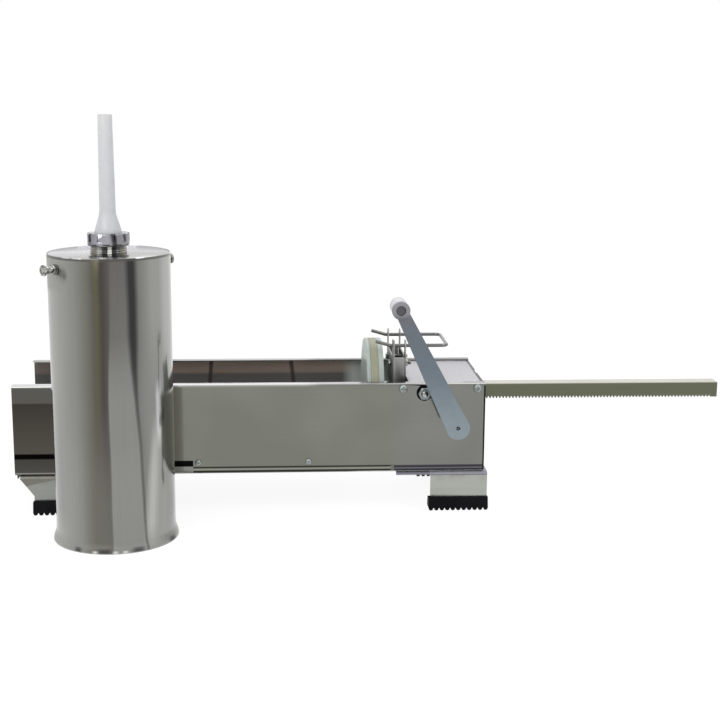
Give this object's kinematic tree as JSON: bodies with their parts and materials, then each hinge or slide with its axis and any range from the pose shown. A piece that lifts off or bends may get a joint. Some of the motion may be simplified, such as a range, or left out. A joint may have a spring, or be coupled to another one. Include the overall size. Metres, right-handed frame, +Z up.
{
  "type": "sausage stuffer",
  "caption": "Hand-cranked sausage stuffer: folded steel trough with a rack-and-pinion piston, and its lift-out meat cylinder with funnel standing beside it.",
  "frame": {"origin": "centre of the bounding box's underside, on the table", "axes": "+X along the trough from its open front end to the gearbox and rack, +Y from the crank's side to the far side, +Z up"},
  "size_m": [0.9046, 0.3266, 0.494],
  "materials": {
    "polished_steel": "mirror-polished stainless sheet",
    "satin_steel": "satin stainless",
    "rubber": "black, matt",
    "chrome": "bright polished",
    "bronze": "sintered bronze, matt",
    "olive_steel": "olive-grey passivated, machined",
    "nylon": "milky greenish white",
    "silicone": "pale olive-yellow, soft",
    "zinc_steel": "blue-grey zinc plate, matt",
    "white_plastic": "white, smooth"
  },
  "bodies": {
    "frame": {"trough": "polished_steel", "front_leg": "satin_steel", "rear_leg": "satin_steel", "rubber_foot_front_near": "rubber", "rubber_foot_front_far": "rubber", "rubber_foot_rear_near": "rubber", "rubber_foot_rear_far": "rubber", "leg_rivet_front_near": "satin_steel", "leg_rivet_front_far": "satin_steel", "leg_rivet_rear_near": "satin_steel", "leg_rivet_rear_far": "satin_steel", "cradle_front": "satin_steel", "cradle_rear": "satin_steel", "gearbox_front_plate": "satin_steel", "rear_end_plate": "satin_steel", "gearbox_lid": "satin_steel", "cradle_screw_front_near": "chrome", "cradle_screw_front_far": "chrome", "cradle_screw_rear_near": "chrome", "cradle_screw_rear_far": "chrome", "lid_screw_front_near": "chrome", "lid_screw_front_far": "chrome", "lid_screw_rear_near": "chrome", "lid_screw_rear_far": "chrome", "hold_down_bolt": "chrome", "hold_down_nut": "chrome", "shaft_bush_near": "bronze", "shaft_bush_far": "bronze", "latch_bracket": "polished_steel", "latch_bolt_near": "chrome", "latch_nut_near": "chrome", "latch_bolt_far": "chrome", "latch_nut_far": "chrome"},
    "rack": {"rack": "olive_steel", "piston_front_disc": "nylon", "piston_seal": "silicone", "piston_rear_disc": "nylon", "piston_bolt": "chrome"},
    "crank": {"crank_shaft": "satin_steel", "shaft_circlip": "satin_steel", "pinion": "satin_steel", "pinion_pin": "chrome", "crank_hub": "zinc_steel", "hub_pin": "chrome", "shaft_collar": "satin_steel", "crank_arm": "zinc_steel", "grip_spindle": "zinc_steel"},
    "grip": {"crank_grip": "white_plastic"},
    "latch": {"latch_wire": "chrome"},
    "cylinder": {"cylinder_tube": "polished_steel", "cylinder_end_plate": "polished_steel", "threaded_neck": "chrome", "seat_pin_near": "chrome", "seat_pin_far": "chrome", "funnel_gasket": "silicone", "funnel": "white_plastic"},
    "ring_nut": {"ring_nut": "chrome"}
  },
  "joints": [
    {"name": "rack_slide", "type": "slide", "parent": "frame", "child": "rack", "axis": [-1, 0, 0], "range_m": [0, 0.335]},
    {"name": "crank_turn", "type": "hinge", "parent": "frame", "child": "crank", "pos_m": [0.09225, -0.0108, 0.11886], "axis": [0, -1, 0], "range_deg": [0, 1864]},
    {"name": "grip_spin", "type": "hinge", "parent": "crank", "child": "grip", "pos_m": [0.02073, -0.0368, 0.26421], "axis": [0, 1, 0], "continuous": true},
    {"name": "latch_slide", "type": "slide", "parent": "frame", "child": "latch", "axis": [-1, 0, 0], "range_m": [0, 0.04]},
    {"name": "cylinder_lift", "type": "slide", "parent": "frame", "child": "cylinder", "axis": [0, 0, 1], "range_m": [0, 0.3]},
    {"name": "ring_nut_turn", "type": "hinge", "parent": "cylinder", "child": "ring_nut", "pos_m": [-0.31955, -0.0898, 0.354], "axis": [0, 0, 1], "continuous": true}
  ],
  "couplings": [
    {"joint": "crank_turn", "follows": "rack_slide", "rad_per_m": 96.97}
  ]
}
